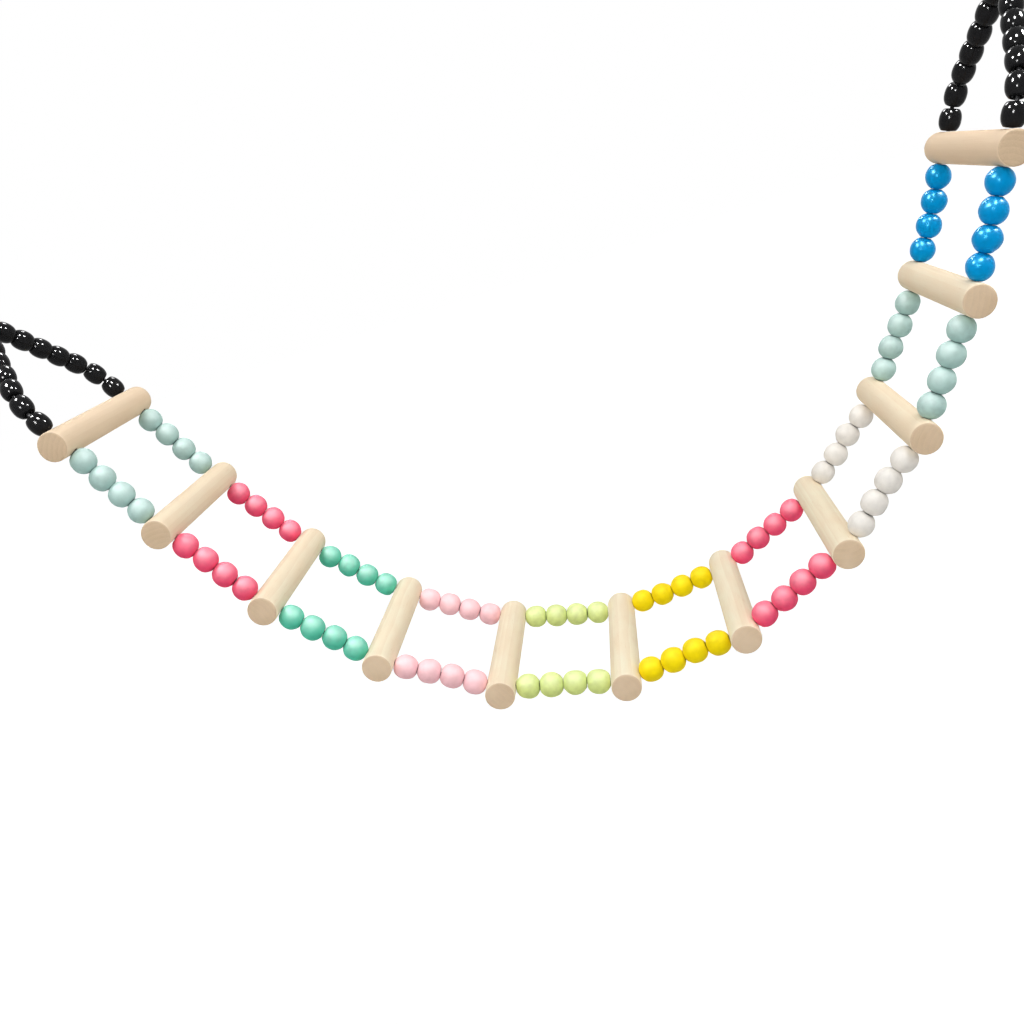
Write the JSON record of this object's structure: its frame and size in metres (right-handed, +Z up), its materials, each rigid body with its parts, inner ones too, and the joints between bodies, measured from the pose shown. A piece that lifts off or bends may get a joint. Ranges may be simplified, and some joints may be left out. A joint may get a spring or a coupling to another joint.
{
  "type": "bird ladder",
  "caption": "Hanging bird ladder: round wooden rungs joined by strands of painted beads on bendable wires, with a black-bead bridle and an oval link at each end.",
  "frame": {"origin": "left hanging point: the inside of the upper bow of the left link, where a cage bar carries it", "axes": "+X from the left hanging point to the right one, which is level with it; +Y along the rungs, front to rear; +Z up"},
  "size_m": [0.4521, 0.087, 0.2526],
  "materials": {
    "rung_wood": "bare sanded wood",
    "paint_aqua": "satin paint on wood",
    "paint_hot_pink": "satin paint on wood",
    "paint_teal": "satin paint on wood",
    "paint_light_pink": "satin paint on wood",
    "paint_lime": "satin paint on wood",
    "paint_yellow": "satin paint on wood",
    "paint_white": "satin paint on wood",
    "paint_blue": "satin paint on wood",
    "black_gloss": "high gloss",
    "wire_steel": "dark annealed wire",
    "link_steel": "polished zinc plate"
  },
  "bodies": {
    "left_link": {"link_left": "link_steel"},
    "left_nut": {"nut_left": "link_steel"},
    "wires": {"wire_front": "wire_steel", "wire_rear": "wire_steel"},
    "rung_01": {"rung_01": "rung_wood"},
    "rung_02": {"rung_02": "rung_wood"},
    "rung_03": {"rung_03": "rung_wood"},
    "rung_04": {"rung_04": "rung_wood"},
    "rung_05": {"rung_05": "rung_wood"},
    "rung_06": {"rung_06": "rung_wood"},
    "rung_07": {"rung_07": "rung_wood"},
    "rung_08": {"rung_08": "rung_wood"},
    "rung_09": {"rung_09": "rung_wood"},
    "rung_10": {"rung_10": "rung_wood"},
    "rung_11": {"rung_11": "rung_wood"},
    "right_link": {"link_right": "link_steel"},
    "right_nut": {"nut_right": "link_steel"},
    "strand_left_front": {"barrels_left_front": "black_gloss"},
    "strand_left_rear": {"barrels_left_rear": "black_gloss"},
    "turn_left_front": {"turn_barrel_left_front": "black_gloss"},
    "turn_left_rear": {"turn_barrel_left_rear": "black_gloss"},
    "seat_left_front": {"seat_barrel_left_front": "black_gloss"},
    "seat_left_rear": {"seat_barrel_left_rear": "black_gloss"},
    "strand_01_front": {"beads_front_01": "paint_aqua"},
    "strand_01_rear": {"beads_rear_01": "paint_aqua"},
    "strand_02_front": {"beads_front_02": "paint_hot_pink"},
    "strand_02_rear": {"beads_rear_02": "paint_hot_pink"},
    "strand_03_front": {"beads_front_03": "paint_teal"},
    "strand_03_rear": {"beads_rear_03": "paint_teal"},
    "strand_04_front": {"beads_front_04": "paint_light_pink"},
    "strand_04_rear": {"beads_rear_04": "paint_light_pink"},
    "strand_05_front": {"beads_front_05": "paint_lime"},
    "strand_05_rear": {"beads_rear_05": "paint_lime"},
    "strand_06_front": {"beads_front_06": "paint_yellow"},
    "strand_06_rear": {"beads_rear_06": "paint_yellow"},
    "strand_07_front": {"beads_front_07": "paint_hot_pink"},
    "strand_07_rear": {"beads_rear_07": "paint_hot_pink"},
    "strand_08_front": {"beads_front_08": "paint_white"},
    "strand_08_rear": {"beads_rear_08": "paint_white"},
    "strand_09_front": {"beads_front_09": "paint_aqua"},
    "strand_09_rear": {"beads_rear_09": "paint_aqua"},
    "strand_10_front": {"beads_front_10": "paint_blue"},
    "strand_10_rear": {"beads_rear_10": "paint_blue"},
    "strand_right_front": {"barrels_right_front": "black_gloss"},
    "strand_right_rear": {"barrels_right_rear": "black_gloss"},
    "turn_right_front": {"turn_barrel_right_front": "black_gloss"},
    "turn_right_rear": {"turn_barrel_right_rear": "black_gloss"},
    "seat_right_front": {"seat_barrel_right_front": "black_gloss"},
    "seat_right_rear": {"seat_barrel_right_rear": "black_gloss"}
  },
  "joints": [
    {"name": "link_left_pivot", "type": "hinge", "parent": "left_link", "child": "wires", "pos_m": [0.01504, 0, -0.02682], "axis": [0, -1, 0], "range_deg": [-60, 60]},
    {"name": "link_right_pivot", "type": "hinge", "parent": "rung_11", "child": "right_link", "pos_m": [0.43594, 0, -0.02856], "axis": [0, -1, 0], "range_deg": [-60, 60]},
    {"name": "nut_left_travel", "type": "slide", "parent": "left_link", "child": "left_nut", "axis": [0.4891, 0, -0.8722], "range_m": [0, 0.007]},
    {"name": "nut_right_travel", "type": "slide", "parent": "right_link", "child": "right_nut", "axis": [-0.3703, 0, -0.9289], "range_m": [0, 0.007]},
    {"name": "rung_01_flex", "type": "hinge", "parent": "wires", "child": "rung_01", "pos_m": [0.04472, 0, -0.07974], "axis": [0, -1, 0], "range_deg": [-22.5, 24.3], "deforming": ["wire_front", "wire_rear"]},
    {"name": "rung_02_flex", "type": "hinge", "parent": "rung_01", "child": "rung_02", "pos_m": [0.06939, 0, -0.1254], "axis": [0, -1, 0], "range_deg": [-28.54, 18.26], "deforming": ["wire_front", "wire_rear"]},
    {"name": "rung_03_flex", "type": "hinge", "parent": "rung_02", "child": "rung_03", "pos_m": [0.09806, 0, -0.16867], "axis": [0, -1, 0], "range_deg": [-34.11, 12.69], "deforming": ["wire_front", "wire_rear"]},
    {"name": "rung_04_flex", "type": "hinge", "parent": "rung_03", "child": "rung_04", "pos_m": [0.13426, 0, -0.20585], "axis": [0, -1, 0], "range_deg": [-38.67, 8.13], "deforming": ["wire_front", "wire_rear"]},
    {"name": "rung_05_flex", "type": "hinge", "parent": "rung_04", "child": "rung_05", "pos_m": [0.17898, 0, -0.23219], "axis": [0, -1, 0], "range_deg": [-41.81, 4.99], "deforming": ["wire_front", "wire_rear"]},
    {"name": "rung_06_flex", "type": "hinge", "parent": "rung_05", "child": "rung_06", "pos_m": [0.22973, 0, -0.24306], "axis": [0, -1, 0], "range_deg": [-43.23, 3.57], "deforming": ["wire_front", "wire_rear"]},
    {"name": "rung_07_flex", "type": "hinge", "parent": "rung_06", "child": "rung_07", "pos_m": [0.28116, 0, -0.23607], "axis": [0, -1, 0], "range_deg": [-42.8, 4], "deforming": ["wire_front", "wire_rear"]},
    {"name": "rung_08_flex", "type": "hinge", "parent": "rung_07", "child": "rung_08", "pos_m": [0.32734, 0, -0.21239], "axis": [0, -1, 0], "range_deg": [-40.56, 6.24], "deforming": ["wire_front", "wire_rear"]},
    {"name": "rung_09_flex", "type": "hinge", "parent": "rung_08", "child": "rung_09", "pos_m": [0.36448, 0, -0.17613], "axis": [0, -1, 0], "range_deg": [-36.72, 10.08], "deforming": ["wire_front", "wire_rear"]},
    {"name": "rung_10_flex", "type": "hinge", "parent": "rung_09", "child": "rung_10", "pos_m": [0.39226, 0, -0.13229], "axis": [0, -1, 0], "range_deg": [-31.64, 15.16], "deforming": ["wire_front", "wire_rear"]},
    {"name": "rung_11_flex", "type": "hinge", "parent": "rung_10", "child": "rung_11", "pos_m": [0.41347, 0, -0.08493], "axis": [0, -1, 0], "range_deg": [-25.79, 21.01], "deforming": ["wire_front", "wire_rear"]},
    {"name": "strand_left_front_spin", "type": "hinge", "parent": "wires", "child": "strand_left_front", "pos_m": [0.02443, -0.01776, -0.04356], "axis": [-0.3703, 0.6534, 0.6602], "continuous": true},
    {"name": "strand_left_rear_spin", "type": "hinge", "parent": "wires", "child": "strand_left_rear", "pos_m": [0.02443, 0.01776, -0.04356], "axis": [0.3703, 0.6534, -0.6602], "continuous": true},
    {"name": "turn_left_front_spin", "type": "hinge", "parent": "wires", "child": "turn_left_front", "pos_m": [0.03479, -0.03379, -0.06203], "axis": [-0.4585, 0.3486, 0.8175], "continuous": true},
    {"name": "turn_left_rear_spin", "type": "hinge", "parent": "wires", "child": "turn_left_rear", "pos_m": [0.03479, 0.03379, -0.06203], "axis": [0.4585, 0.3486, -0.8175], "continuous": true},
    {"name": "seat_left_front_spin", "type": "hinge", "parent": "wires", "child": "seat_left_front", "pos_m": [0.03944, -0.0355, -0.07032], "axis": [-0.4891, 0, 0.8722], "continuous": true},
    {"name": "seat_left_rear_spin", "type": "hinge", "parent": "wires", "child": "seat_left_rear", "pos_m": [0.03944, 0.0355, -0.07032], "axis": [0.4891, 0, -0.8722], "continuous": true},
    {"name": "strand_01_front_spin", "type": "hinge", "parent": "rung_01", "child": "strand_01_front", "pos_m": [0.05706, -0.0355, -0.10257], "axis": [0.4754, 0, -0.8798], "continuous": true},
    {"name": "strand_01_rear_spin", "type": "hinge", "parent": "rung_01", "child": "strand_01_rear", "pos_m": [0.05706, 0.0355, -0.10257], "axis": [0.4754, 0, -0.8798], "continuous": true},
    {"name": "strand_02_front_spin", "type": "hinge", "parent": "rung_02", "child": "strand_02_front", "pos_m": [0.08372, -0.0355, -0.14703], "axis": [0.5523, 0, -0.8336], "continuous": true},
    {"name": "strand_02_rear_spin", "type": "hinge", "parent": "rung_02", "child": "strand_02_rear", "pos_m": [0.08372, 0.0355, -0.14703], "axis": [0.5523, 0, -0.8336], "continuous": true},
    {"name": "strand_03_front_spin", "type": "hinge", "parent": "rung_03", "child": "strand_03_front", "pos_m": [0.11616, -0.0355, -0.18726], "axis": [0.6976, 0, -0.7165], "continuous": true},
    {"name": "strand_03_rear_spin", "type": "hinge", "parent": "rung_03", "child": "strand_03_rear", "pos_m": [0.11616, 0.0355, -0.18726], "axis": [0.6976, 0, -0.7165], "continuous": true},
    {"name": "strand_04_front_spin", "type": "hinge", "parent": "rung_04", "child": "strand_04_front", "pos_m": [0.15662, -0.0355, -0.21902], "axis": [0.8616, 0, -0.5075], "continuous": true},
    {"name": "strand_04_rear_spin", "type": "hinge", "parent": "rung_04", "child": "strand_04_rear", "pos_m": [0.15662, 0.0355, -0.21902], "axis": [0.8616, 0, -0.5075], "continuous": true},
    {"name": "strand_05_front_spin", "type": "hinge", "parent": "rung_05", "child": "strand_05_front", "pos_m": [0.20436, -0.0355, -0.23763], "axis": [0.9778, 0, -0.2094], "continuous": true},
    {"name": "strand_05_rear_spin", "type": "hinge", "parent": "rung_05", "child": "strand_05_rear", "pos_m": [0.20436, 0.0355, -0.23763], "axis": [0.9778, 0, -0.2094], "continuous": true},
    {"name": "strand_06_front_spin", "type": "hinge", "parent": "rung_06", "child": "strand_06_front", "pos_m": [0.25544, -0.0355, -0.23957], "axis": [0.9909, 0, 0.1347], "continuous": true},
    {"name": "strand_06_rear_spin", "type": "hinge", "parent": "rung_06", "child": "strand_06_rear", "pos_m": [0.25544, 0.0355, -0.23957], "axis": [0.9909, 0, 0.1347], "continuous": true},
    {"name": "strand_07_front_spin", "type": "hinge", "parent": "rung_07", "child": "strand_07_front", "pos_m": [0.30425, -0.0355, -0.22423], "axis": [0.8898, 0, 0.4563], "continuous": true},
    {"name": "strand_07_rear_spin", "type": "hinge", "parent": "rung_07", "child": "strand_07_rear", "pos_m": [0.30425, 0.0355, -0.22423], "axis": [0.8898, 0, 0.4563], "continuous": true},
    {"name": "strand_08_front_spin", "type": "hinge", "parent": "rung_08", "child": "strand_08_front", "pos_m": [0.34591, -0.0355, -0.19426], "axis": [0.7155, 0, 0.6986], "continuous": true},
    {"name": "strand_08_rear_spin", "type": "hinge", "parent": "rung_08", "child": "strand_08_rear", "pos_m": [0.34591, 0.0355, -0.19426], "axis": [0.7155, 0, 0.6986], "continuous": true},
    {"name": "strand_09_front_spin", "type": "hinge", "parent": "rung_09", "child": "strand_09_front", "pos_m": [0.37837, -0.0355, -0.15421], "axis": [0.5353, 0, 0.8447], "continuous": true},
    {"name": "strand_09_rear_spin", "type": "hinge", "parent": "rung_09", "child": "strand_09_rear", "pos_m": [0.37837, 0.0355, -0.15421], "axis": [0.5353, 0, 0.8447], "continuous": true},
    {"name": "strand_10_front_spin", "type": "hinge", "parent": "rung_10", "child": "strand_10_front", "pos_m": [0.40286, -0.0355, -0.10861], "axis": [0.4087, 0, 0.9127], "continuous": true},
    {"name": "strand_10_rear_spin", "type": "hinge", "parent": "rung_10", "child": "strand_10_rear", "pos_m": [0.40286, 0.0355, -0.10861], "axis": [0.4087, 0, 0.9127], "continuous": true},
    {"name": "strand_right_front_spin", "type": "hinge", "parent": "rung_11", "child": "strand_right_front", "pos_m": [0.42883, -0.01776, -0.04639], "axis": [0.2803, 0.6534, 0.7032], "continuous": true},
    {"name": "strand_right_rear_spin", "type": "hinge", "parent": "rung_11", "child": "strand_right_rear", "pos_m": [0.42883, 0.01776, -0.04639], "axis": [-0.2803, 0.6534, -0.7032], "continuous": true},
    {"name": "turn_right_front_spin", "type": "hinge", "parent": "rung_11", "child": "turn_right_front", "pos_m": [0.42099, -0.03379, -0.06606], "axis": [0.3471, 0.3486, 0.8706], "continuous": true},
    {"name": "turn_right_rear_spin", "type": "hinge", "parent": "rung_11", "child": "turn_right_rear", "pos_m": [0.42099, 0.03379, -0.06606], "axis": [-0.3471, 0.3486, -0.8706], "continuous": true},
    {"name": "seat_right_front_spin", "type": "hinge", "parent": "rung_11", "child": "seat_right_front", "pos_m": [0.41747, -0.0355, -0.07489], "axis": [0.3703, 0, 0.9289], "continuous": true},
    {"name": "seat_right_rear_spin", "type": "hinge", "parent": "rung_11", "child": "seat_right_rear", "pos_m": [0.41747, 0.0355, -0.07489], "axis": [-0.3703, 0, -0.9289], "continuous": true}
  ]
}
